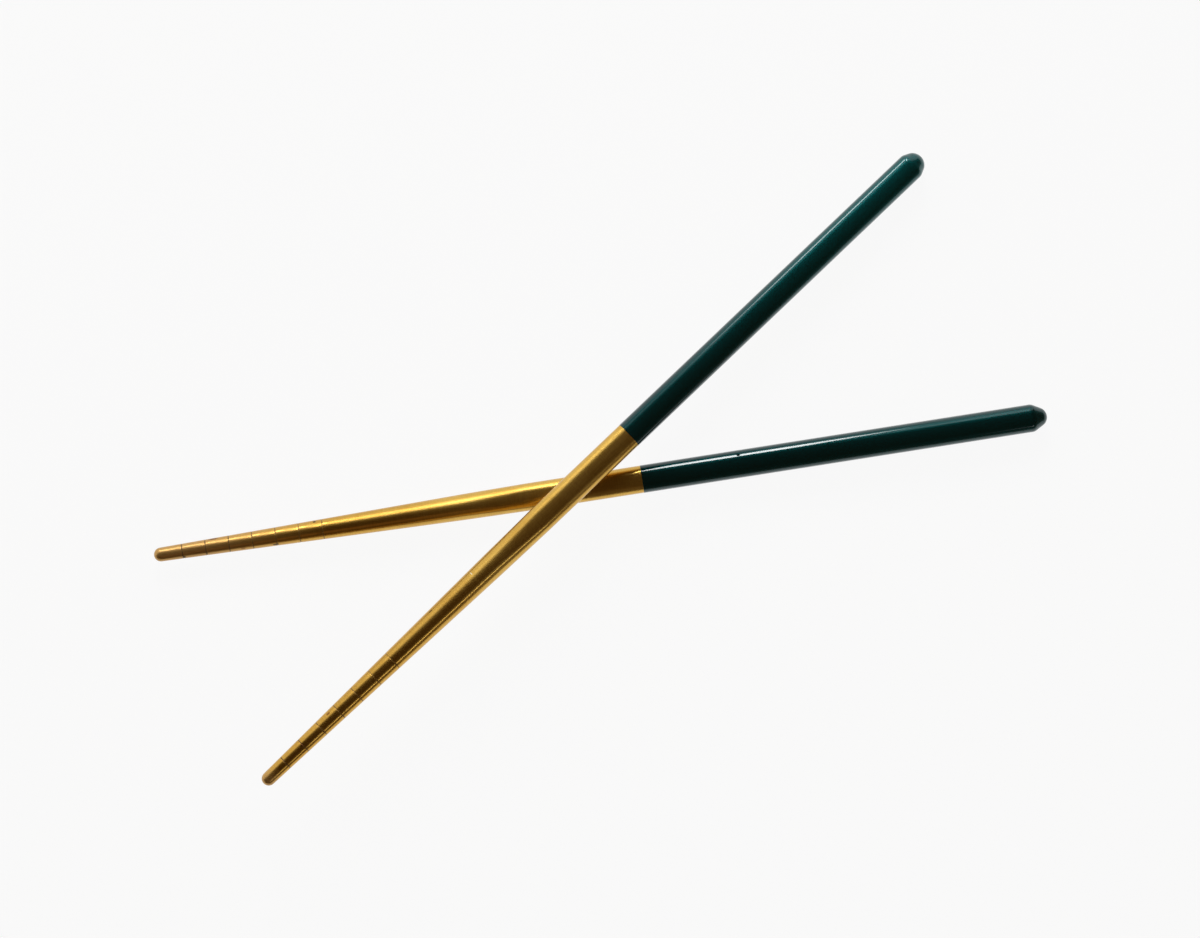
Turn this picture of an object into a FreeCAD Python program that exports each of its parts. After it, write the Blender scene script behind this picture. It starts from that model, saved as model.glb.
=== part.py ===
import FreeCAD, Part
import math
import os

import Sketcher

# A pair of metal chopsticks lying crossed on a table. Each stick is one steel
# rod: a ball-nosed round tip with turned rings, a long taper, a soft-square
# handle and a chamfered, domed end. A sprayed lacquer coat covers the handle
# from a crisp border to the end. Along each stick, stations are measured from
# the nose of the tip.

# Driving dimensions, in millimetres and degrees
SIZES = [
    ("stick_length", 230.0, "steel rod, nose to domed end"),
    ("tip_width", 3.55, "diameter behind the ball nose"),
    ("taper_length", 90.0, "station where the taper would reach the handle's width"),
    ("turn_before", 10.0, "round section ends this far before the taper does"),
    ("turn_after", 6.0, "soft square is complete this far after it"),
    ("handle_width", 7.0, "across two opposite faces"),
    ("face_radius", 10.0, "radius of each pillowed face"),
    ("corner_radius", 2.5, "radius of each soft corner"),
    ("shoulder_radius", 2.0, "rounding between handle and end chamfer"),
    ("coat_thickness", 0.06, "sprayed lacquer"),
    ("ring_count", 7, "turned rings on each tip"),
    ("ring_width", 0.26, "ring groove at the surface"),
    ("ring_depth", 0.08, "ring groove"),
    ("resting_gap", 0.02, "air between the crossed sticks"),
    ("lower_ring_first", 7.4, "station of the first ring"),
    ("lower_ring_pitch", 6.03, "from ring to ring"),
    ("lower_coat_start", 125.7, "station of the lacquer's border"),
    ("lower_chamfer_angle", 29.0, "end chamfer against the axis"),
    ("lower_chamfer_length", 2.37, "end chamfer along the axis"),
    ("lower_crossing", 107.5, "station where the sticks cross"),
    ("lower_heading", 8.9, "direction on the table, from tip to end"),
    ("upper_ring_first", 7.6, "station of the first ring"),
    ("upper_ring_pitch", 6.17, "from ring to ring"),
    ("upper_coat_start", 127.0, "station of the lacquer's border"),
    ("upper_chamfer_angle", 24.0, "end chamfer against the axis"),
    ("upper_chamfer_length", 1.6, "end chamfer along the axis"),
    ("upper_crossing", 106.8, "station where the sticks cross"),
    ("upper_heading", 43.63, "direction on the table, from tip to end"),
]

LOWER = "lower"
UPPER = "upper"
ROUND_END = "Sizes.taper_length - Sizes.turn_before"
SQUARE_START = "Sizes.taper_length + Sizes.turn_after"
UPRIGHT = FreeCAD.Vector(0, 0, 1)
QUARTER = math.pi / 2
# Millimetres within which an edge counts as lying at a station
AT_STATION = 1e-4
LEAN_ROUNDS = 12

doc = FreeCAD.newDocument("crossed_chopsticks")
sheet = doc.addObject("Spreadsheet::Sheet", "Sizes")
for row, (alias, value, meaning) in enumerate(SIZES, start=1):
    sheet.set(f"A{row}", meaning)
    sheet.set(f"B{row}", str(value))
    sheet.setAlias(f"B{row}", alias)
doc.recompute()


def size(expression):
    """Value of an expression on the sheet's cells."""
    return float(sheet.evalExpression(expression))


def origin_feature(body, role):
    for feature in body.Origin.OriginFeatures:
        if feature.Role == role:
            return feature
    raise ValueError(role)


def new_sketch(body, name, role, station=None):
    """Sketch on an origin plane, moved out to a station along the stick where one is given."""
    sketch = body.newObject("Sketcher::SketchObject", name)
    sketch.AttachmentSupport = [(origin_feature(body, role), "")]
    sketch.MapMode = "FlatFace"
    if station:
        sketch.setExpression("AttachmentOffset.Base.z", station)
    return sketch


def bind(sketch, kind, places, expression):
    """Dimension of a sketch, tied to the sheet."""
    index = sketch.addConstraint(Sketcher.Constraint(kind, *places, size(expression)))
    sketch.setExpression(f"Constraints[{index}]", expression)


def join(sketch, ring):
    """Closes a ring of (element, start, end): each one's end point meets the next one's start."""
    for (this, _, end), (after, start, _) in zip(ring, ring[1:] + ring[:1]):
        sketch.addConstraint(Sketcher.Constraint("Coincident", this, end, after, start))


def outline(sketch, corners):
    """Closed outline of straight sides whose corners are pairs of expressions."""
    points = [FreeCAD.Vector(size(x), size(y), 0) for x, y in corners]
    sides = [
        sketch.addGeometry(Part.LineSegment(start, end))
        for start, end in zip(points, points[1:] + points[:1])
    ]
    join(sketch, [(side, 1, 2) for side in sides])
    for side, (x, y) in zip(sides, corners):
        bind(sketch, "DistanceX", (-1, 1, side, 1), x)
        bind(sketch, "DistanceY", (-1, 1, side, 1), y)


def corner_place():
    """Soft square: how far each face's centre lies behind the axis, how far each corner's centre
    lies from both axes, and the slope where the face's arc runs into the corner's.
    """
    inset = size("Sizes.face_radius") - size("Sizes.handle_width / 2")
    reach = size("Sizes.face_radius") - size("Sizes.corner_radius")
    centre = (math.sqrt(2 * reach**2 - inset**2) - inset) / 2
    return inset, centre, math.atan2(centre, centre + inset)


def section_reach(angle):
    """How far the steel section reaches from its axis in a direction at this angle to a face."""
    inset, centre, turn = corner_place()
    if angle < turn:
        return size("Sizes.face_radius") - inset * math.cos(angle)
    return size("Sizes.corner_radius") + centre * (math.cos(angle) + math.sin(angle))


def soft_square(body, name, station, grow):
    """Square with pillowed faces and soft corners, its faces moved out by grow."""
    half = f"Sizes.handle_width / 2 + {grow}"
    face = f"Sizes.face_radius + {grow}"
    corner = f"Sizes.corner_radius + {grow}"
    inset, centre, turn = corner_place()

    sketch = new_sketch(body, name, "YZ_Plane", station)
    arcs = []
    for side in range(4):
        heading = side * QUARTER
        spin = FreeCAD.Rotation(UPRIGHT, math.degrees(heading))
        for middle, radius, start, end in (
            (FreeCAD.Vector(-inset, 0, 0), size(face), -turn, turn),
            (FreeCAD.Vector(centre, centre, 0), size(corner), turn, QUARTER - turn),
        ):
            round_it = Part.Circle(spin.multVec(middle), UPRIGHT, radius)
            arcs.append(sketch.addGeometry(Part.ArcOfCircle(round_it, heading + start, heading + end)))
    faces = arcs[0::2]
    corners = arcs[1::2]

    for i, arc in enumerate(arcs):
        sketch.addConstraint(Sketcher.Constraint("Tangent", arc, 2, arcs[(i + 1) % len(arcs)], 1))
    for i in range(1, 4):
        sketch.addConstraint(Sketcher.Constraint("Equal", faces[0], faces[i]))
        sketch.addConstraint(Sketcher.Constraint("Equal", corners[0], corners[i]))
    bind(sketch, "Radius", (faces[0],), face)
    bind(sketch, "Radius", (corners[0],), corner)
    # Each face's centre lies on an axis, behind the face by its radius
    for i, arc in enumerate(faces):
        along, axis = ("DistanceX", -1) if i % 2 == 0 else ("DistanceY", -2)
        sign = "-1" if i < 2 else "1"
        sketch.addConstraint(Sketcher.Constraint("PointOnObject", arc, 3, axis))
        bind(sketch, along, (-1, 1, arc, 3), f"{sign} * ({face} - ({half}))")
    return sketch


def circle(body, name, station, radius):
    sketch = new_sketch(body, name, "YZ_Plane", station)
    ring = sketch.addGeometry(Part.Circle(FreeCAD.Vector(), UPRIGHT, size(radius)))
    sketch.addConstraint(Sketcher.Constraint("Coincident", ring, 3, -1, 1))
    bind(sketch, "Radius", (ring,), radius)
    return sketch


def turned(body, name, kind, sketch):
    """Revolution or groove of a sketch about the stick's axis."""
    feature = body.newObject(f"PartDesign::{kind}", name)
    feature.Profile = sketch
    feature.ReferenceAxis = (origin_feature(body, "X_Axis"), [""])
    feature.Angle = 360
    return feature


def loft(body, name, first, last):
    feature = body.newObject("PartDesign::AdditiveLoft", name)
    feature.Profile = first
    feature.Sections = [last]
    feature.Ruled = True
    return feature


def taper_radius(station):
    """Radius of the round taper at a station."""
    nose = "Sizes.tip_width / 2"
    rise = f"(Sizes.handle_width / 2 - {nose}) / (Sizes.taper_length - {nose})"
    return f"{nose} + ({station} - {nose}) * {rise}"


def add_round_tip(body):
    """Ball nose and taper, turned about the axis."""
    sketch = new_sketch(body, "tip_profile", "XZ_Plane")
    nose = "Sizes.tip_width / 2"
    ball = size(nose)
    top = FreeCAD.Vector(size(ROUND_END), size(taper_radius(ROUND_END)), 0)
    foot = FreeCAD.Vector(top.x, 0, 0)
    quarter = Part.Circle(FreeCAD.Vector(ball, 0, 0), UPRIGHT, ball)
    arc = sketch.addGeometry(Part.ArcOfCircle(quarter, QUARTER, math.pi))
    side = sketch.addGeometry(Part.LineSegment(FreeCAD.Vector(ball, ball, 0), top))
    back = sketch.addGeometry(Part.LineSegment(top, foot))
    base = sketch.addGeometry(Part.LineSegment(foot, FreeCAD.Vector()))
    join(sketch, [(arc, 2, 1), (side, 1, 2), (back, 1, 2), (base, 1, 2)])
    sketch.addConstraint(Sketcher.Constraint("Coincident", base, 2, -1, 1))
    sketch.addConstraint(Sketcher.Constraint("PointOnObject", base, 1, -1))
    sketch.addConstraint(Sketcher.Constraint("PointOnObject", arc, 3, -1))
    sketch.addConstraint(Sketcher.Constraint("Vertical", back))
    bind(sketch, "Radius", (arc,), nose)
    bind(sketch, "DistanceX", (-1, 1, arc, 1), nose)
    bind(sketch, "DistanceX", (-1, 1, back, 1), ROUND_END)
    bind(sketch, "DistanceY", (-1, 1, back, 1), taper_radius(ROUND_END))
    turned(body, "round_tip", "Revolution", sketch)


def end_sizes(stick, grow):
    """Expressions for the handle's end: shoulder station, neck station, neck radius and dome radius.

    The steel's chamfer sets the neck, and the dome carries on from it smoothly.
    """
    half = "Sizes.handle_width / 2"
    slope = f"Sizes.{stick}_chamfer_angle"
    dome = f"(({half} - Sizes.{stick}_chamfer_length * tan({slope})) / cos({slope}) + {grow})"
    neck_radius = f"{dome} * cos({slope})"
    neck = f"Sizes.stick_length + {grow} - {dome} * (1 - sin({slope}))"
    shoulder = f"{neck} - ({half} + {grow} - {neck_radius}) / tan({slope})"
    return shoulder, neck, neck_radius, dome


def add_dome(body, stick, grow):
    """Rounded end, turned about the axis, which the chamfer runs into smoothly."""
    neck, neck_radius, radius = end_sizes(stick, grow)[1:]
    end = f"Sizes.stick_length + {grow}"
    sketch = new_sketch(body, "dome_profile", "XZ_Plane")
    foot = FreeCAD.Vector(size(neck), 0, 0)
    rim = FreeCAD.Vector(size(neck), size(neck_radius), 0)
    apex = FreeCAD.Vector(size(end), 0, 0)
    middle = FreeCAD.Vector(size(end) - size(radius), 0, 0)
    around = Part.Circle(middle, UPRIGHT, size(radius))
    arc = sketch.addGeometry(Part.ArcOfCircle(around, 0, math.atan2(rim.y, rim.x - middle.x)))
    base = sketch.addGeometry(Part.LineSegment(apex, foot))
    back = sketch.addGeometry(Part.LineSegment(foot, rim))
    join(sketch, [(arc, 2, 1), (base, 1, 2), (back, 1, 2)])
    sketch.addConstraint(Sketcher.Constraint("PointOnObject", arc, 3, -1))
    sketch.addConstraint(Sketcher.Constraint("PointOnObject", base, 1, -1))
    sketch.addConstraint(Sketcher.Constraint("PointOnObject", base, 2, -1))
    sketch.addConstraint(Sketcher.Constraint("Vertical", back))
    bind(sketch, "Radius", (arc,), radius)
    bind(sketch, "DistanceX", (-1, 1, base, 1), end)
    bind(sketch, "DistanceX", (-1, 1, base, 2), neck)
    return turned(body, "end_dome", "Revolution", sketch)


def add_handle(body, stick, start, grow):
    """Soft-square bar from a station to the shoulder, then chamfer, dome and rounded shoulder."""
    shoulder, neck, neck_radius = end_sizes(stick, grow)[:3]
    bar = body.newObject("PartDesign::Pad", "handle_bar")
    bar.Profile = soft_square(body, "handle_section", start, grow)
    bar.setExpression("Length", f"{shoulder} - ({start})")
    shoulder_section = soft_square(body, "shoulder_section", shoulder, grow)
    loft(body, "end_chamfer", shoulder_section, circle(body, "neck_section", neck, neck_radius))
    dome = add_dome(body, stick, grow)
    doc.recompute()

    # The edges to round are those that lie wholly at the shoulder's station
    station = size(shoulder)
    edges = [
        f"Edge{i}"
        for i, edge in enumerate(dome.Shape.Edges, start=1)
        if max(abs(edge.BoundBox.XMin - station), abs(edge.BoundBox.XMax - station)) < AT_STATION
    ]
    rounding = body.newObject("PartDesign::Fillet", "shoulder_rounding")
    rounding.Base = (dome, edges)
    rounding.setExpression("Radius", f"Sizes.shoulder_radius + {grow}")
    body.Tip = rounding


def add_rings(body, stick):
    """Narrow V grooves round the taper, one turned cut for all of them."""
    sketch = new_sketch(body, "ring_profile", "XZ_Plane")
    for i in range(int(size("Sizes.ring_count"))):
        middle = f"Sizes.{stick}_ring_first + {i} * Sizes.{stick}_ring_pitch"
        bottom = f"{taper_radius(f'({middle})')} - Sizes.ring_depth"
        # The V opens as wide again above the surface, so that the cut runs clear of it
        top = f"{bottom} + 2 * Sizes.ring_depth"
        outline(sketch, [
            (middle, bottom),
            (f"{middle} + Sizes.ring_width", top),
            (f"{middle} - Sizes.ring_width", top),
        ])
    body.Tip = turned(body, "rings", "Groove", sketch)


def make_stick(stick):
    """The steel rod of one stick, lying along X with its nose at the origin."""
    body = doc.addObject("PartDesign::Body", f"{stick}_stick")
    body.Label = f"{stick}_stick"
    add_round_tip(body)
    loft(
        body,
        "round_to_square",
        circle(body, "round_section", ROUND_END, taper_radius(ROUND_END)),
        soft_square(body, "square_section", SQUARE_START, "0"),
    )
    add_handle(body, stick, SQUARE_START, "0")
    doc.recompute()
    uncut = body.Shape.Volume
    add_rings(body, stick)
    doc.recompute()
    if body.Shape.Volume >= uncut:
        raise RuntimeError(f"the rings of {body.Label} cut nothing")
    return body


def make_lacquer(stick, rod):
    """Even coat over one handle: the same handle, grown by the coat, less the steel."""
    blank = doc.addObject("PartDesign::Body", f"{stick}_coated_handle")
    add_handle(blank, stick, f"Sizes.{stick}_coat_start", "Sizes.coat_thickness")
    coat = doc.addObject("Part::Cut", f"{stick}_handle_lacquer")
    coat.Label = f"{stick}_handle_lacquer"
    coat.Base = blank
    coat.Tool = rod
    return blank, coat


def lying(stick):
    """Placement of the lower stick: flat on the table, crossing over the origin."""
    turn = FreeCAD.Rotation(size(f"Sizes.{stick}_heading"), 0, 0)
    along = turn.multVec(FreeCAD.Vector(1, 0, 0))
    height = size("Sizes.handle_width / 2 + Sizes.coat_thickness")
    return FreeCAD.Placement(FreeCAD.Vector(0, 0, height) - along * size(f"Sizes.{stick}_crossing"), turn)


def resting_layer(sticks):
    """What keeps the sticks' steel apart where they cross: air, and the coat of each one lacquered there."""
    layer = size("Sizes.resting_gap")
    for stick in sticks:
        if size(f"Sizes.{stick}_crossing + Sizes.handle_width - Sizes.{stick}_coat_start") > 0:
            layer += size("Sizes.coat_thickness")
    return layer


def leaning(stick, under):
    """Placement of the upper stick: across the lower one, its handle's end down on the table.

    The two sticks meet where one direction is square to both. That direction tips off upright
    as the upper stick leans, so the lean is found in a few rounds that settle quickly.
    """
    half = size("Sizes.handle_width / 2")
    rounding = size("Sizes.shoulder_radius")
    crossing = size(f"Sizes.{stick}_crossing")
    shoulder = size(end_sizes(stick, "0")[0])
    chamfer = math.radians(size(f"Sizes.{stick}_chamfer_angle"))
    spread = math.radians(size(f"Sizes.{stick}_heading - Sizes.{under}_heading"))
    aside = abs(math.sin(spread))
    layer = resting_layer((stick, under))

    # The rounded shoulder rests on the table below a point this far along, and this far off the axis
    run = shoulder - rounding * math.tan(chamfer / 2) - crossing
    off = half - rounding
    lean = 0.0
    for _ in range(LEAN_ROUNDS):
        tipped = math.atan2(math.tan(lean), aside)
        own = math.cos(tipped) * math.cos(lean) + math.sin(tipped) * math.sin(lean) * aside
        reaches = section_reach(tipped) + section_reach(math.acos(min(1.0, own)))
        apart = (reaches + layer) / math.cos(tipped)
        lean = math.asin((half + apart - rounding) / math.hypot(run, off)) - math.atan2(off, run)

    turn = FreeCAD.Rotation(size(f"Sizes.{stick}_heading"), math.degrees(lean), 0)
    along = turn.multVec(FreeCAD.Vector(1, 0, 0))
    height = half + size("Sizes.coat_thickness") + apart
    return FreeCAD.Placement(FreeCAD.Vector(0, 0, height) - along * crossing, turn)


def centre_on_table(bodies, nodes):
    """Moves the pair so that the origin is under the middle of its box, on the table."""
    box = FreeCAD.BoundBox()
    for node in nodes:
        box.add(node.Shape.optimalBoundingBox(False, False))
    shift = FreeCAD.Placement(FreeCAD.Vector(-box.Center.x, -box.Center.y, -box.ZMin), FreeCAD.Rotation())
    for body in bodies:
        body.Placement = shift.multiply(body.Placement)


bodies = []
nodes = []
for stick, place in ((LOWER, lying(LOWER)), (UPPER, leaning(UPPER, LOWER))):
    rod = make_stick(stick)
    blank, coat = make_lacquer(stick, rod)
    for body in (rod, blank):
        body.Placement = place
    bodies += [rod, blank]
    nodes += [rod, coat]
doc.recompute()
centre_on_table(bodies, nodes)
doc.recompute()

for thing in doc.Objects:
    if "Invalid" in thing.State or "Error" in thing.State:
        raise RuntimeError(f"{thing.Label} failed: {thing.State}")
for node in nodes:
    if node.Shape.isNull() or not node.Shape.isValid() or len(node.Shape.Solids) != 1:
        raise RuntimeError(f"{node.Label} is not one valid solid")

os.makedirs("parts", exist_ok=True)
for node in nodes:
    node.Shape.exportStep(f"parts/{node.Label}.step")
    print(node.Label, round(node.Shape.Volume, 2), "mm3")
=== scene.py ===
from dataclasses import dataclass
from math import atan2, cos, pi, radians, sin, sqrt, tan

import bpy
import numpy as np
from mathutils import Matrix, Vector


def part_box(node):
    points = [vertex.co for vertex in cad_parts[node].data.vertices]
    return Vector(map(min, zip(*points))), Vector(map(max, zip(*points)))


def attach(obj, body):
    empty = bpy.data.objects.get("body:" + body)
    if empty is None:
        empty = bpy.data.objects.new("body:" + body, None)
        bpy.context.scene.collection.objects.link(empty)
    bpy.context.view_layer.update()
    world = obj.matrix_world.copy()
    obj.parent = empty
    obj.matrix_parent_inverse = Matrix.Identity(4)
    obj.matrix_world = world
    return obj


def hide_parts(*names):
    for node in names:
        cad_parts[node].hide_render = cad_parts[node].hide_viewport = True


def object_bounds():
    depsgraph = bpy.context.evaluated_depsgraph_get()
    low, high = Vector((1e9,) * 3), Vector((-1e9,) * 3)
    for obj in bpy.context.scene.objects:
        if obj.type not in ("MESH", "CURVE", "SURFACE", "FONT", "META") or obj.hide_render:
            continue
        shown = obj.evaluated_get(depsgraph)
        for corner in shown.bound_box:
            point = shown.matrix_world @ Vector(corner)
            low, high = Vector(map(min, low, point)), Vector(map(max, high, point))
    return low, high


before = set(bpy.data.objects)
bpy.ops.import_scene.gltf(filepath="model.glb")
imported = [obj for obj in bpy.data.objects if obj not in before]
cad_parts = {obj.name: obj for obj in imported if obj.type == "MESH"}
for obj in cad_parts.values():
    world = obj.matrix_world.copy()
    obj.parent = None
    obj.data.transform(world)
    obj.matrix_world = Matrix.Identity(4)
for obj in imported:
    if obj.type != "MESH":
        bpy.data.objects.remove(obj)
cad_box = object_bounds()

MM = 0.001

# The sticks' form, as the frame has it
STICK_LENGTH = 230.0 * MM
TIP_RADIUS = 3.55 / 2 * MM
TAPER_LENGTH = 90.0 * MM
ROUND_END = TAPER_LENGTH - 10.0 * MM
SQUARE_START = TAPER_LENGTH + 6.0 * MM
HANDLE_HALF = 7.0 / 2 * MM
FACE_RADIUS = 10.0 * MM
CORNER_RADIUS = 2.5 * MM
SHOULDER_RADIUS = 2.0 * MM
COAT = 0.06 * MM
RINGS = 7
RING_HALF_WIDTH = 0.13 * MM
RING_DEPTH = 0.08 * MM
# A ring's lip is rounded out to here, and drops by this share of the ring's depth
RING_LIP = 1.35 * RING_HALF_WIDTH
RING_LIP_DROP = 0.08
# Where the straight bar's rows start, past the last row of the turning section
BAR_START = SQUARE_START + 1.5 * MM

# The photograph's camera looks straight down
IMAGE_WIDTH = 1200
CAMERA_HEIGHT = 1.0
CAMERA_AIM = Vector((-0.00013, -0.00047))
FOCAL_PIXELS = 3913.9
SENSOR_WIDTH = 36.0


@dataclass
class Stick:
    """What differs from one stick to the other, in metres and degrees."""

    name: str
    ring_first: float
    ring_pitch: float
    coat_start: float
    chamfer_angle: float
    chamfer_length: float
    # How bright the colour coat is at its border and at the handle's end, against its full colour
    colour_at_border: float
    colour_at_end: float
    # How far the tip is worn dull
    worn_length: float

    @property
    def steel(self):
        return f"{self.name}_stick"

    @property
    def lacquer(self):
        return f"{self.name}_handle_lacquer"


LOWER = Stick("lower", 7.4 * MM, 6.03 * MM, 125.7 * MM, 29.0, 2.37 * MM, 0.34, 0.40, 50.0 * MM)
UPPER = Stick("upper", 7.6 * MM, 6.17 * MM, 127.0 * MM, 24.0, 1.6 * MM, 0.34, 0.80, 6.0 * MM)


def place_of(stick):
    """Where the stick lies: its matrix, read from the frame's own rod.

    The ball nose touches the rod's box on its low sides, and the end is the point farthest from it.
    """
    low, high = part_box(stick.steel)
    level = (low.z + high.z) / 2 if stick is LOWER else high.z - TIP_RADIUS
    ball = Vector((low.x + TIP_RADIUS, low.y + TIP_RADIUS, level))
    points = (vertex.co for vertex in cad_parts[stick.steel].data.vertices)
    along = (max(points, key=lambda point: (point - ball).length) - ball).normalized()
    side = Vector((0, 0, 1)).cross(along).normalized()
    turn = Matrix((along, side, along.cross(side))).transposed().to_4x4()
    return Matrix.Translation(ball - along * TIP_RADIUS) @ turn


# A section is a ring of points. Every section has them in the same outward directions, so that
# one section flows into the next without twisting
FACE_STEPS = 8
CORNER_STEPS = 22
ANGLE_SLACK = 1e-9


def section_directions():
    """Outward directions round a section, close together on the corners."""
    inset = FACE_RADIUS - HANDLE_HALF
    reach = FACE_RADIUS - CORNER_RADIUS
    centre = (sqrt(2 * reach**2 - inset**2) - inset) / 2
    turn = atan2(centre, centre + inset)
    face = np.linspace(-turn, turn, FACE_STEPS, endpoint=False)
    corner = np.linspace(turn, pi / 2 - turn, CORNER_STEPS, endpoint=False)
    quarter = np.concatenate((face, corner))
    return np.concatenate([quarter + side * pi / 2 for side in range(4)]), inset, centre, turn


DIRECTIONS, FACE_INSET, CORNER_CENTRE, FACE_TURN = section_directions()
ROUND = np.stack((np.cos(DIRECTIONS), np.sin(DIRECTIONS)), axis=1)


def soft_square(grow):
    """Points of the pillowed square, moved out by grow."""
    quadrant = np.floor((DIRECTIONS + FACE_TURN) / (pi / 2))
    within = DIRECTIONS - quadrant * pi / 2
    on_face = within < FACE_TURN - ANGLE_SLACK
    radius = np.where(on_face, FACE_RADIUS + grow, CORNER_RADIUS + grow)
    x = np.where(on_face, -FACE_INSET, CORNER_CENTRE) + radius * np.cos(within)
    y = np.where(on_face, 0.0, CORNER_CENTRE) + radius * np.sin(within)
    c, s = np.cos(quadrant * pi / 2), np.sin(quadrant * pi / 2)
    return np.stack((x * c - y * s, x * s + y * c), axis=1)


def row(station, section):
    """One ring of vertices: a section at a station, or at a station of its own for each point."""
    stations = np.broadcast_to(np.asarray(station, float), (len(DIRECTIONS),))
    return np.column_stack((stations, section))


def taper_radius(station):
    """Radius of the round taper at a station."""
    widening = (HANDLE_HALF - TIP_RADIUS) / (TAPER_LENGTH - TIP_RADIUS)
    return TIP_RADIUS + (station - TIP_RADIUS) * widening


def nose_rows():
    """Ball nose, from its pole outwards."""
    nose_steps = 14
    angles = [pi / 2 * i / nose_steps for i in range(1, nose_steps)]
    return [row(TIP_RADIUS * (1 - cos(a)), ROUND * TIP_RADIUS * sin(a)) for a in angles]


def taper_rows(stick):
    """Round taper with its V-shaped rings, which have soft lips."""
    groove = {
        -RING_LIP: 0.0,
        -RING_HALF_WIDTH: RING_LIP_DROP * RING_DEPTH,
        0.0: RING_DEPTH,
        RING_HALF_WIDTH: RING_LIP_DROP * RING_DEPTH,
        RING_LIP: 0.0,
    }
    depths = {}
    for i in range(RINGS):
        middle = stick.ring_first + i * stick.ring_pitch
        depths.update({middle + offset: depth for offset, depth in groove.items()})
        depths[middle + stick.ring_pitch / 2] = 0.0
    rows_before, rows_after = 4, 16
    past_rings = stick.ring_first + (RINGS - 0.5) * stick.ring_pitch
    before = np.linspace(TIP_RADIUS, stick.ring_first - 4 * RING_LIP, rows_before)
    after = np.linspace(past_rings, ROUND_END, rows_after)[1:]
    depths.update({float(station): 0.0 for station in (*before, *after)})
    return [row(s, ROUND * (taper_radius(s) - depths[s])) for s in sorted(depths)]


def turning_rows():
    """The round taper turning into the soft square."""
    taper_end = ROUND * taper_radius(ROUND_END)
    change = soft_square(0.0) - taper_end
    length = SQUARE_START - ROUND_END
    turning_steps = 10
    shares = [i / turning_steps for i in range(1, turning_steps + 1)]
    return [row(ROUND_END + length * share, taper_end + change * share) for share in shares]


def end_rows(stick, start, grow):
    """Handle from a station to its end: straight bar, rounded shoulder, chamfer and dome."""
    square = soft_square(grow)
    slope = radians(stick.chamfer_angle)
    dome = (HANDLE_HALF - stick.chamfer_length * tan(slope)) / cos(slope) + grow
    neck_radius = dome * cos(slope)
    end = STICK_LENGTH + grow
    neck = end - dome * (1 - sin(slope))
    shoulder = neck - (HANDLE_HALF + grow - neck_radius) / tan(slope)

    # Along each line of points, an arc joins the bar to the chamfer
    inward = ROUND * neck_radius - square
    drop = np.linalg.norm(inward, axis=1)
    inward /= drop[:, None]
    fall = np.arctan2(drop, neck - shoulder)
    rounding = SHOULDER_RADIUS + grow
    back = rounding * np.tan(fall / 2)

    bar_steps, arc_steps, chamfer_steps, dome_steps = 28, 7, 4, 12
    clear_of_arc = 0.2 * MM
    bar_end = shoulder - back.max() - clear_of_arc
    rows = [row(s, square) for s in np.linspace(start, bar_end, bar_steps)]
    for i in range(arc_steps + 1):
        bend = fall * i / arc_steps
        stations = shoulder - back + rounding * np.sin(bend)
        depth = rounding * (1 - np.cos(bend))
        rows.append(row(stations, square + inward * depth[:, None]))
    top, foot = rows[-1], row(neck, ROUND * neck_radius)
    for i in range(1, chamfer_steps + 1):
        rows.append(top + (foot - top) * i / chamfer_steps)
    for i in range(1, dome_steps):
        angle = (pi / 2 - slope) * (1 - i / dome_steps)
        rows.append(row(end - dome * (1 - cos(angle)), ROUND * dome * sin(angle)))
    return rows, end


def skin(name, rows, first_pole=None, last_pole=None):
    """Mesh of a run of rows, closed by a point at either end where one is given."""
    count = len(DIRECTIONS)
    points = np.concatenate(rows)
    faces = []
    for near in range(len(rows) - 1):
        far = near + 1
        for i in range(count):
            j = (i + 1) % count
            faces.append((near * count + i, near * count + j, far * count + j, far * count + i))
    poles = [pole for pole in (first_pole, last_pole) if pole is not None]
    points = np.concatenate([points] + [[(pole, 0.0, 0.0)] for pole in poles])
    base = len(rows) * count
    if first_pole is not None:
        faces += [(base, (i + 1) % count, i) for i in range(count)]
    if last_pole is not None:
        edge = (len(rows) - 1) * count
        faces += [(base + len(poles) - 1, edge + i, edge + (i + 1) % count) for i in range(count)]
    mesh = bpy.data.meshes.new(name)
    mesh.from_pydata([tuple(p) for p in points], [], faces)
    mesh.validate()
    mesh.polygons.foreach_set("use_smooth", [True] * len(mesh.polygons))
    mesh.update()
    return mesh


def add_piece(name, mesh, place, material):
    """Puts a mesh that was made along X, nose at the origin, where its stick lies."""
    mesh.transform(place)
    mesh.materials.append(material)
    piece = bpy.data.objects.new(name, mesh)
    bpy.context.scene.collection.objects.link(piece)
    return piece


def add_axis(stick, place):
    """Marks the stick's own axes, which its finishes are laid out along."""
    axis = bpy.data.objects.new(f"{stick.name}_axis", None)
    bpy.context.scene.collection.objects.link(axis)
    axis.matrix_world = place
    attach(axis, "root")
    return axis


def steel_rod(stick, place, material):
    rows, end = end_rows(stick, BAR_START, 0.0)
    rows = nose_rows() + taper_rows(stick) + turning_rows() + rows
    mesh = skin(f"{stick.steel}_mesh", rows, 0.0, end)
    piece = add_piece(f"{stick.name}_steel_rod", mesh, place, material)
    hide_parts(stick.steel)
    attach(piece, "root")
    return piece


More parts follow.
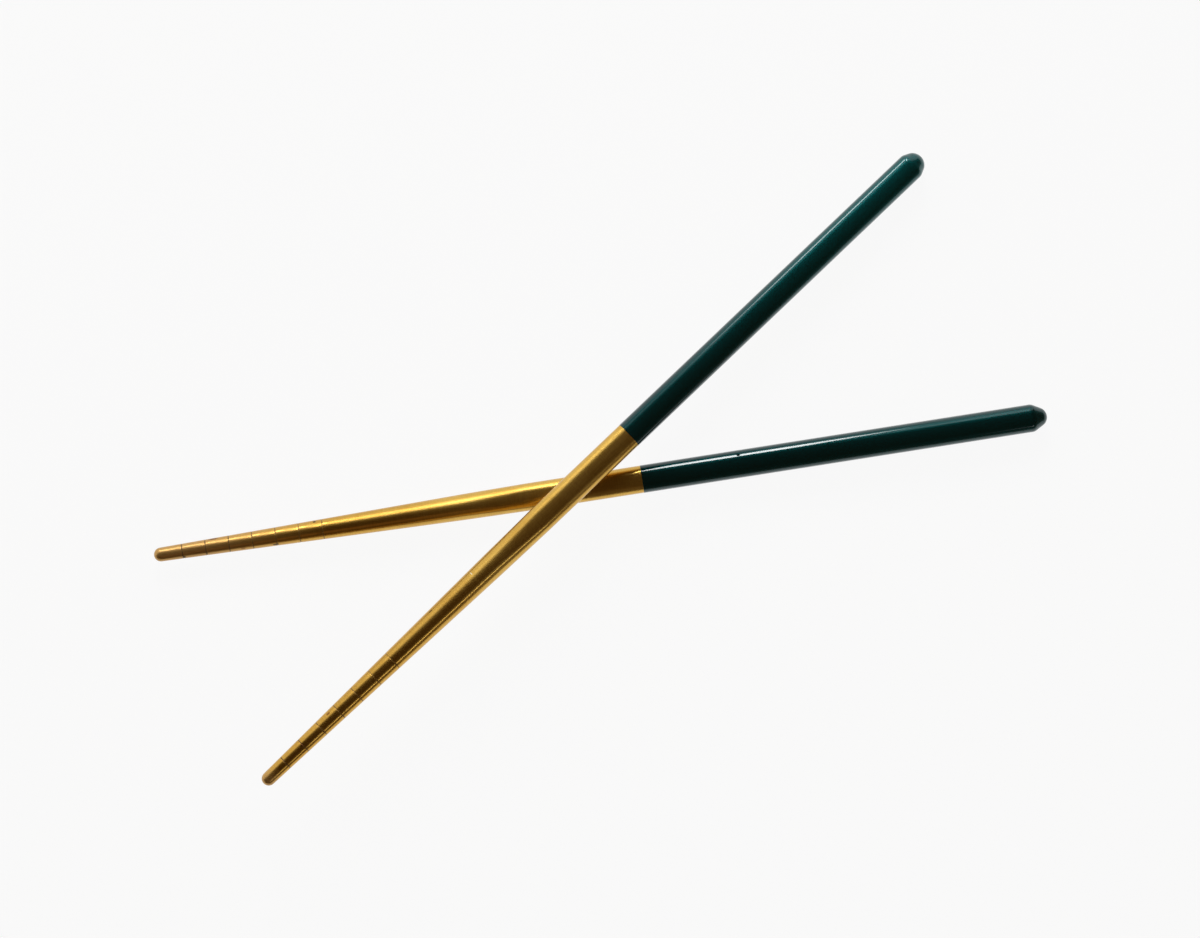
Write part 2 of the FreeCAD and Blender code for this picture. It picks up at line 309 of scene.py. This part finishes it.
def lacquer_coat(stick, place, material):
    """Closed coat: its outside with a rounded lip at the border, and its inside along the steel."""
    outside, end = end_rows(stick, stick.coat_start + 2 * COAT, COAT)
    inside, inner_end = end_rows(stick, stick.coat_start, 0.0)
    steel = soft_square(0.0)
    full = soft_square(COAT)
    lip_steps = 4
    bends = [pi / 2 * i / lip_steps for i in range(1, lip_steps + 1)]
    lip = [
        row(stick.coat_start + COAT * (1 - cos(bend)), steel + (full - steel) * sin(bend))
        for bend in bends
    ]
    mesh = skin(f"{stick.lacquer}_mesh", lip + outside, None, end)
    inner = skin("inside", inside, None, inner_end)
    join_inside(mesh, inner)
    piece = add_piece(f"{stick.name}_lacquer_coat", mesh, place, material)
    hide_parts(stick.lacquer)
    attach(piece, "root")
    return piece


def join_inside(outer, inner):
    """Adds the inside, turned to face the steel, and bridges both borders."""
    count = len(DIRECTIONS)
    shift = len(outer.vertices)
    points = [tuple(v.co) for v in outer.vertices] + [tuple(v.co) for v in inner.vertices]
    faces = [tuple(p.vertices) for p in outer.polygons]
    faces += [tuple(v + shift for v in reversed(p.vertices)) for p in inner.polygons]
    faces += [(i, shift + i, shift + (i + 1) % count, (i + 1) % count) for i in range(count)]
    outer.clear_geometry()
    outer.from_pydata(points, [], faces)
    outer.polygons.foreach_set("use_smooth", [True] * len(outer.polygons))
    outer.update()
    bpy.data.meshes.remove(inner)


class Value:
    """A number from a shader socket. Arithmetic on it adds Math nodes."""

    def __init__(self, finish, socket):
        self.finish = finish
        self.socket = socket

    def math(self, operation, *others, swapped=False):
        terms = [self, *others]
        if swapped:
            terms.reverse()
        settings = {"operation": operation}
        return self.finish.node("ShaderNodeMath", settings, dict(enumerate(terms))).value()

    def __add__(self, other):
        return self.math("ADD", other)

    def __radd__(self, other):
        return self.math("ADD", other, swapped=True)

    def __sub__(self, other):
        return self.math("SUBTRACT", other)

    def __rsub__(self, other):
        return self.math("SUBTRACT", other, swapped=True)

    def __mul__(self, other):
        return self.math("MULTIPLY", other)

    def __rmul__(self, other):
        return self.math("MULTIPLY", other, swapped=True)

    def __truediv__(self, other):
        return self.math("DIVIDE", other)

    def __rtruediv__(self, other):
        return self.math("DIVIDE", other, swapped=True)

    def __pow__(self, other):
        return self.math("POWER", other)

    def __abs__(self):
        return self.math("ABSOLUTE")

    def rise(self, start, end):
        """0 up to start, 1 from end on, and smooth between them."""
        settings = {"interpolation_type": "SMOOTHSTEP"}
        sockets = {"Value": self, "From Min": start, "From Max": end}
        return self.finish.node("ShaderNodeMapRange", settings, sockets).value()


class Added:
    """A node just added, with its outputs at hand."""

    def __init__(self, finish, made):
        self.finish = finish
        self.made = made

    def value(self, output=0):
        return Value(self.finish, self.made.outputs[output])

    def out(self, output=0):
        return self.made.outputs[output]


class Finish:
    """A material, or the world, as it is built up from nodes."""

    def __init__(self, owner):
        owner.use_nodes = True
        self.owner = owner
        self.tree = owner.node_tree
        self.tree.nodes.clear()

    def node(self, kind, settings=None, sockets=None):
        """Adds a node: its settings first, then the values or links of its sockets."""
        made = self.tree.nodes.new(kind)
        for key, value in (settings or {}).items():
            setattr(made, key, value)
        for key, value in (sockets or {}).items():
            if isinstance(value, Value):
                value = value.socket
            if isinstance(value, bpy.types.NodeSocket):
                self.tree.links.new(value, made.inputs[key])
            else:
                made.inputs[key].default_value = value
        return Added(self, made)

    def place(self, axis=None):
        """Where a point lies in its own object's axes, or in those of the axis that is given."""
        return self.node("ShaderNodeTexCoord", {"object": axis}).out("Object")

    def axes(self, vector):
        parts = self.node("ShaderNodeSeparateXYZ", sockets={"Vector": vector})
        return parts.value("X"), parts.value("Y"), parts.value("Z")

    def vector_math(self, operation, *vectors):
        return self.node("ShaderNodeVectorMath", {"operation": operation}, dict(enumerate(vectors)))

    def stretched(self, vector, scale):
        """A vector with each axis multiplied by its own number."""
        return self.vector_math("MULTIPLY", vector, scale).out()

    def noise(self, vector, scale, detail):
        sockets = {"Vector": vector, "Scale": scale, "Detail": detail}
        return self.node("ShaderNodeTexNoise", sockets=sockets).value("Fac")

    def nearness(self, place, point, reach, ragged):
        """1 at a point and 0 from its reach on. The reach is a length along each axis."""
        offset = self.vector_math("SUBTRACT", place, point).out()
        share = self.vector_math("DIVIDE", offset, reach).out()
        away = self.vector_math("LENGTH", share).value("Value")
        solid = 0.55
        return 1.0 - (away + ragged).rise(solid, 1.0)

    def blend(self, share, first, second):
        """Mix of two colours."""
        settings = {"data_type": "RGBA"}
        return self.node("ShaderNodeMix", settings, {"Factor": share, 6: first, 7: second}).out(2)

    def bump(self, height, distance):
        sockets = {"Height": height, "Distance": distance, "Strength": 1.0}
        return self.node("ShaderNodeBump", sockets=sockets).out()

    def surface(self, shader):
        self.node("ShaderNodeOutputMaterial", sockets={"Surface": shader})
        return self.owner


def colour(red, green, blue):
    return (red, green, blue, 1.0)


GOLD = colour(0.76, 0.485, 0.112)
GOLD_DEEP = colour(0.60, 0.335, 0.058)
GOLD_WORN = colour(0.60, 0.35, 0.12)
# Darker colour laid into the ring grooves
RING_GROOVE_DARK = colour(0.14, 0.07, 0.025)
SOOT = colour(0.03, 0.014, 0.006)
RUST = colour(0.22, 0.075, 0.025)
SCRATCHED = colour(0.95, 0.86, 0.62)
TEAL = colour(0.0004, 0.109, 0.111)
TEAL_BLACK = colour(0.0, 0.004, 0.004)


@dataclass
class Mark:
    """A stain, scratch or chip.

    Its point and its reach are along, across and above the stick's axis, in millimetres.
    """

    point: tuple
    reach: tuple
    colour: tuple
    share: float

    def nearness(self, finish, place, ragged):
        point, reach = (tuple(MM * length for length in of) for of in (self.point, self.reach))
        return finish.nearness(place, point, reach, ragged) * self.share


GOLD_MARKS = {
    "lower": (
        Mark((7.7, -1.5, 1.0), (0.45, 0.4, 0.7), SOOT, 0.9),
        Mark((13.5, -1.5, 1.3), (0.3, 0.3, 0.5), SOOT, 0.8),
        Mark((22.8, -1.7, 1.3), (0.7, 0.3, 0.5), RUST, 0.7),
        Mark((15.6, 1.85, 0.8), (1.6, 0.3, 0.7), RUST, 0.9),
        Mark((31.2, -1.95, 1.2), (1.0, 0.35, 0.6), SOOT, 0.85),
        Mark((41.7, 2.2, 1.3), (0.45, 0.35, 0.6), SOOT, 0.9),
    ),
    "upper": (
        Mark((13.7, 0.4, 1.95), (0.6, 0.5, 0.6), RUST, 0.7),
        Mark((23.8, 1.5, 1.6), (0.7, 0.3, 0.6), RUST, 0.8),
        Mark((60.0, 2.4, 1.65), (0.8, 0.25, 0.6), SOOT, 0.7),
        Mark((74.0, 2.2, 2.25), (0.16, 0.7, 0.7), SCRATCHED, 0.9),
    ),
}
LACQUER_CHIPS = {
    "lower": (Mark((150.8, 2.3, 3.03), (0.60, 0.38, 0.7), TEAL_BLACK, 1.0),),
    "upper": (),
}

# Cells of each pattern to the metre. Where there are three numbers, the first is along the stick
POLISH_CELLS = (5200.0, 420.0, 420.0)
STREAK_CELLS = (30.0, 1900.0, 1900.0)
GRAIN_CELLS = 3600.0
CLOUD_CELLS = 130.0

POLISH_HEIGHT = 0.0006 * MM
# Between these stations the gold turns paler
PALE_FROM = 45.0 * MM
PALE_TO = 95.0 * MM
SATIN_ROUGHNESS = 0.28
POLISHED_ROUGHNESS = 0.07
CREST_SHARE = 0.24
# The tip is fully worn over this share of its worn length
FULLY_WORN = 0.1
# What wear and the darkened ring grooves take from the gold's metal shine
WORN_LOSS = 0.38
GROOVE_DARK_LOSS = 0.7
# The groove of the ring nearest the tip is darkened this much, and each next one less so
FIRST_GROOVE_DARK = 0.9
LESS_GROOVE_DARK_EACH_RING = 0.06
# How ragged a mark's edge is
RAGGED = 0.9


def on_rings(stick, ring):
    """1 in a ring's groove and 0 away from it, from the first ring to the last.

    The station is given in rings, counted from 0 at the first one.
    """
    from_ring = abs(ring - ring.math("ROUND")) * stick.ring_pitch
    in_groove = 1.0 - from_ring.rise(0.5 * RING_HALF_WIDTH, 1.5 * RING_HALF_WIDTH)
    past_first = (ring + 0.5).rise(0.0, 0.1)
    past_last = (ring - (RINGS - 0.6)).rise(0.0, 0.1)
    return in_groove * (past_first * (1.0 - past_last))


def gold(stick, axis):
    """Gold-coloured coating, polished across the stick, with darkened ring grooves and a tip worn
    dull.
    """
    finish = Finish(bpy.data.materials.new(f"{stick.name}_gold"))
    place = finish.place(axis)
    station, _, _ = finish.axes(place)

    polish = finish.noise(finish.stretched(place, POLISH_CELLS), 1.0, 3.0)
    grain = finish.noise(place, GRAIN_CELLS, 2.0)
    cloud = finish.noise(place, CLOUD_CELLS, 3.0)
    streak = finish.noise(finish.stretched(place, STREAK_CELLS), 1.0, 2.0)

    worn = 1.0 - station.rise(FULLY_WORN * stick.worn_length, stick.worn_length)
    worn = worn * (0.8 + 0.4 * (grain - 0.5))
    ring = (station - stick.ring_first) / stick.ring_pitch
    ringed = on_rings(stick, ring)
    # The ring grooves are darkened, most at the first ring and less at each next one
    groove_dark = ringed * (FIRST_GROOVE_DARK - LESS_GROOVE_DARK_EACH_RING * ring) * grain.rise(0.2, 0.5)

    paler = station.rise(PALE_FROM, PALE_TO)
    deep = 0.45 * polish.rise(0.3, 0.7) + 0.3 * cloud.rise(0.35, 0.7) + 0.9 * (streak - 0.5)
    base = finish.blend(deep + 0.55 * (1.0 - paler), GOLD, GOLD_DEEP)
    base = finish.blend(worn, base, GOLD_WORN)
    # The ring grooves take the darker colour
    base = finish.blend(groove_dark, base, RING_GROOVE_DARK)
    ragged = RAGGED * (grain - 0.5)
    for mark in GOLD_MARKS[stick.name]:
        base = finish.blend(mark.nearness(finish, place, ragged), base, mark.colour)

    # Most of the surface is satin, and the polished crests between the fine lines mirror sharply
    satin_roughness = SATIN_ROUGHNESS + 0.04 * grain + 0.06 * worn + 0.07 * paler + 0.3 * groove_dark
    polished_roughness = POLISHED_ROUGHNESS + 0.03 * grain
    sockets = {
        "Base Color": base,
        "Metallic": (1.0 - WORN_LOSS * worn) * (1.0 - GROOVE_DARK_LOSS * groove_dark),
        "Normal": finish.bump(polish, POLISH_HEIGHT),
    }
    satin, polished = (
        finish.node("ShaderNodeBsdfPrincipled", sockets={**sockets, "Roughness": roughness}).out()
        for roughness in (satin_roughness, polished_roughness)
    )
    crests = CREST_SHARE * (1.0 - 0.7 * worn) * (1.0 - ringed)
    shader = finish.node("ShaderNodeMixShader", sockets={0: crests, 1: satin, 2: polished})
    return finish.surface(shader.out())


FLAKE_CELLS = 4200.0
RIPPLE_CELLS = 1100.0
SHADE_CELLS = 60.0
COLOUR_COAT_ROUGHNESS = 0.49
CLEAR_COAT_ROUGHNESS = 0.06
CLEAR_COAT_IOR = 1.5
# How much of the clear coat shows, and how unevenly its ripples make it shine
CLEAR_COAT = 0.88
RIPPLED = 0.24


def green_lacquer(stick, axis):
    """Green metallic colour coat that scatters light broadly, under a glossy clear coat."""
    finish = Finish(bpy.data.materials.new(f"{stick.name}_green_lacquer"))
    place = finish.place(axis)
    station, _, _ = finish.axes(place)
    shade = finish.noise(place, SHADE_CELLS, 2.0)
    flake = finish.noise(place, FLAKE_CELLS, 1.0)
    ripple = finish.noise(place, RIPPLE_CELLS, 1.0)

    along = station.rise(stick.coat_start, STICK_LENGTH)
    strength = stick.colour_at_border + (stick.colour_at_end - stick.colour_at_border) * along
    base = finish.blend(strength * (0.92 + 0.16 * shade), TEAL_BLACK, TEAL)
    clear = CLEAR_COAT + RIPPLED * (ripple - 0.5)
    for chip in LACQUER_CHIPS[stick.name]:
        missing = chip.nearness(finish, place, RAGGED * (flake - 0.5))
        base = finish.blend(missing, base, chip.colour)
        clear = clear * (1.0 - missing)
    shader = finish.node(
        "ShaderNodeBsdfPrincipled",
        sockets={
            "Base Color": base,
            "Metallic": 1.0,
            "Roughness": COLOUR_COAT_ROUGHNESS + 0.03 * flake,
            "Coat Weight": clear,
            "Coat Roughness": CLEAR_COAT_ROUGHNESS,
            "Coat IOR": CLEAR_COAT_IOR,
        },
    )
    return finish.surface(shader.out())


WHITE_LIGHT = colour(1, 1, 1)
WARM_LIGHT = colour(1, 0.56, 0.26)
NO_LIGHT = colour(0, 0, 0)
CLOTH_BROWN = colour(0.050, 0.031, 0.014)
WALL_BROWN = colour(0.09, 0.055, 0.020)
FLOOR_WHITE = colour(0.75, 0.75, 0.75)
ROOM_WHITE = colour(0.8, 0.8, 0.8)
WHITE_SHARE = 0.93
# The room behind the floor is made as white as the floor is
ROOM_WHITE_SHARE = 0.78


def seen_or_mirrored(finish):
    """1 for whatever the camera sees, whether straight, in a reflection or through glass."""
    ray = finish.node("ShaderNodeLightPath")
    seen = ray.value("Is Camera Ray").math("MAXIMUM", ray.value("Is Glossy Ray"))
    return seen.math("MAXIMUM", ray.value("Is Transmission Ray"))


def pale_floor():
    """White board, mostly plain white to the eye and in a reflection. It keeps a soft shadow."""
    finish = Finish(bpy.data.materials.new("white_board"))
    board = finish.node("ShaderNodeBsdfDiffuse", sockets={"Color": FLOOR_WHITE})
    white = finish.node("ShaderNodeEmission", sockets={"Color": WHITE_LIGHT, "Strength": 1.0})
    share = seen_or_mirrored(finish) * WHITE_SHARE
    shader = finish.node("ShaderNodeMixShader", sockets={0: share, 1: board.out(), 2: white.out()})
    return finish.surface(shader.out())


def shaded_cloth(name, near, far, start, end):
    """Cloth whose shade changes from one side to the other, along its own Y."""
    finish = Finish(bpy.data.materials.new(name))
    across = finish.axes(finish.place())[1]
    shade = finish.blend(across.rise(start, end) ** 2.0, near, far)
    cloth = finish.node("ShaderNodeEmission", sockets={"Color": shade, "Strength": 1.0})
    # A cloth this wide is met by chance often enough, and the samples go to the windows
    finish.owner.cycles.emission_sampling = "NONE"
    return finish.surface(cloth.out())


@dataclass
class Window:
    """A glowing board that faces the sticks, with a level lower edge.

    It fades in and out along its width, between distances from its middle, in metres.
    """

    name: str
    middle: tuple
    size: tuple
    radiance: float
    fade_in: tuple
    fade_out: tuple
    light: tuple = WHITE_LIGHT

    def glow(self):
        finish = Finish(bpy.data.materials.new(self.name))
        across = finish.axes(finish.place())[0]
        share = across.rise(*self.fade_in) * (1.0 - across.rise(*self.fade_out))
        sockets = {"Color": finish.blend(share, NO_LIGHT, self.light), "Strength": self.radiance}
        return finish.surface(finish.node("ShaderNodeEmission", sockets=sockets).out())

    def add(self):
        turn = Vector(self.middle).to_track_quat("Z", "Y").to_matrix().to_4x4()
        place = Matrix.Translation(self.middle) @ turn
        return add_board(self.name, self.size, place, self.glow())


WINDOWS = (
    Window("window", (-0.07, 1.0, 0.64), (0.28, 0.44), 23.0, (-0.12, -0.02), (0.02, 0.14)),
    Window("side_window", (-0.28, 1.0, 0.74), (0.34, 0.60), 1.1, (-0.17, -0.05), (0.10, 0.17)),
    Window("end_window", (0.12, 1.0, 0.60), (0.26, 0.56), 1.5, (-0.13, -0.06), (0.06, 0.13)),
    Window("far_window", (-0.56, 1.0, 0.51), (0.36, 0.25), 12.0, (-0.17, -0.08), (-0.03, 0.13)),
    Window("low_window", (-0.62, 1.13, 0.17), (2.00, 0.26), 0.9, (-0.95, -0.60), (0.60, 0.95)),
    Window("small_lamp", (0.49, -0.635, 0.58), (0.46, 0.10), 2.8, (-0.23, -0.12), (0.08, 0.18)),
    Window(
        "warm_card",
        (-0.15, -0.78, 0.85),
        (0.50, 0.50),
        0.2,
        (-0.25, -0.12),
        (0.10, 0.25),
        WARM_LIGHT,
    ),
)


def add_stage_mesh(name, mesh, place, material):
    """Stands a mesh on the stage."""
    board = bpy.data.objects.new(name, mesh)
    bpy.context.scene.collection.objects.link(board)
    board.matrix_world = place
    mesh.materials.append(material)
    return board


def add_board(name, size, place, material):
    """Flat stage board of a width and a length."""
    half_x, half_y = size[0] / 2, size[1] / 2
    mesh = bpy.data.meshes.new(name)
    corners = [(x * half_x, y * half_y, 0) for x, y in ((-1, -1), (1, -1), (1, 1), (-1, 1))]
    mesh.from_pydata(corners, [], [(0, 1, 2, 3)])
    return add_stage_mesh(name, mesh, place, material)


FLOOR_SIZE = (6.0, 6.0)
CLOTH_HEIGHT = 1.3
OVERHEAD_SIZE = (6.0, 5.4)
# How far the overhead cloth is drawn back from the light, and where it turns pale along its Y
OVERHEAD_BACK = 1.0
OVERHEAD_PALE = (1.45, 2.7)
# The side cloth stands round the sticks, between these headings in degrees from +X
WALL_RADIUS = 1.7
WALL_HEADINGS = (-170.0, 52.0)
WALL_DARK = (0.1, 1.0)
# Direction on the table towards the light, in degrees from +X
LIGHT_HEADING = 115.0


def add_overhead_cloth():
    towards_light = Matrix.Rotation(radians(LIGHT_HEADING - 90), 4, "Z")
    place = towards_light @ Matrix.Translation((0, -OVERHEAD_BACK, CLOTH_HEIGHT))
    cloth = shaded_cloth("overhead_cloth", CLOTH_BROWN, ROOM_WHITE, *OVERHEAD_PALE)
    return add_board("overhead_cloth", OVERHEAD_SIZE, place, cloth)


def add_side_cloth():
    """Cloth that stands in a curve round the sticks, its own Y upwards."""
    steps = 24
    first, last = WALL_HEADINGS
    angles = [radians(first + (last - first) * i / steps) for i in range(steps + 1)]
    heights = (0.0, CLOTH_HEIGHT)
    points = [(WALL_RADIUS * cos(a), y, -WALL_RADIUS * sin(a)) for y in heights for a in angles]
    faces = [(i, i + 1, i + steps + 2, i + steps + 1) for i in range(steps)]
    mesh = bpy.data.meshes.new("side_cloth")
    mesh.from_pydata(points, [], faces)
    upright = Matrix.Rotation(radians(90), 4, "X")
    cloth = shaded_cloth("side_cloth", WALL_BROWN, CLOTH_BROWN, *WALL_DARK)
    return add_stage_mesh("side_cloth", mesh, upright, cloth)


def add_stage():
    """Floor, dark cloths and windows. The camera looks past all but the floor."""
    add_board("floor", FLOOR_SIZE, Matrix.Translation((0, 0, cad_box[0].z)), pale_floor())
    for board in (add_overhead_cloth(), add_side_cloth(), *(window.add() for window in WINDOWS)):
        board.visible_camera = False


def add_world():
    world = bpy.data.worlds.new("pale_room")
    finish = Finish(world)
    room = finish.node("ShaderNodeBackground", sockets={"Color": ROOM_WHITE, "Strength": 1.0})
    white = finish.node("ShaderNodeBackground", sockets={"Color": WHITE_LIGHT, "Strength": 1.0})
    share = seen_or_mirrored(finish) * ROOM_WHITE_SHARE
    sky = finish.node("ShaderNodeMixShader", sockets={0: share, 1: room.out(), 2: white.out()})
    finish.node("ShaderNodeOutputWorld", sockets={"Surface": sky.out()})
    bpy.context.scene.world = world


def add_camera():
    camera = bpy.data.cameras.new("overhead_camera")
    camera.sensor_fit = "HORIZONTAL"
    camera.sensor_width = SENSOR_WIDTH
    camera.lens = SENSOR_WIDTH * FOCAL_PIXELS / IMAGE_WIDTH
    holder = bpy.data.objects.new("overhead_camera", camera)
    bpy.context.scene.collection.objects.link(holder)
    holder.location = (*CAMERA_AIM, CAMERA_HEIGHT)
    bpy.context.scene.camera = holder


add_camera()
for stick in (LOWER, UPPER):
    place = place_of(stick)
    axis = add_axis(stick, place)
    steel_rod(stick, place, gold(stick, axis))
    lacquer_coat(stick, place, green_lacquer(stick, axis))
add_stage()
add_world()
bpy.context.scene.view_settings.view_transform = "Standard"
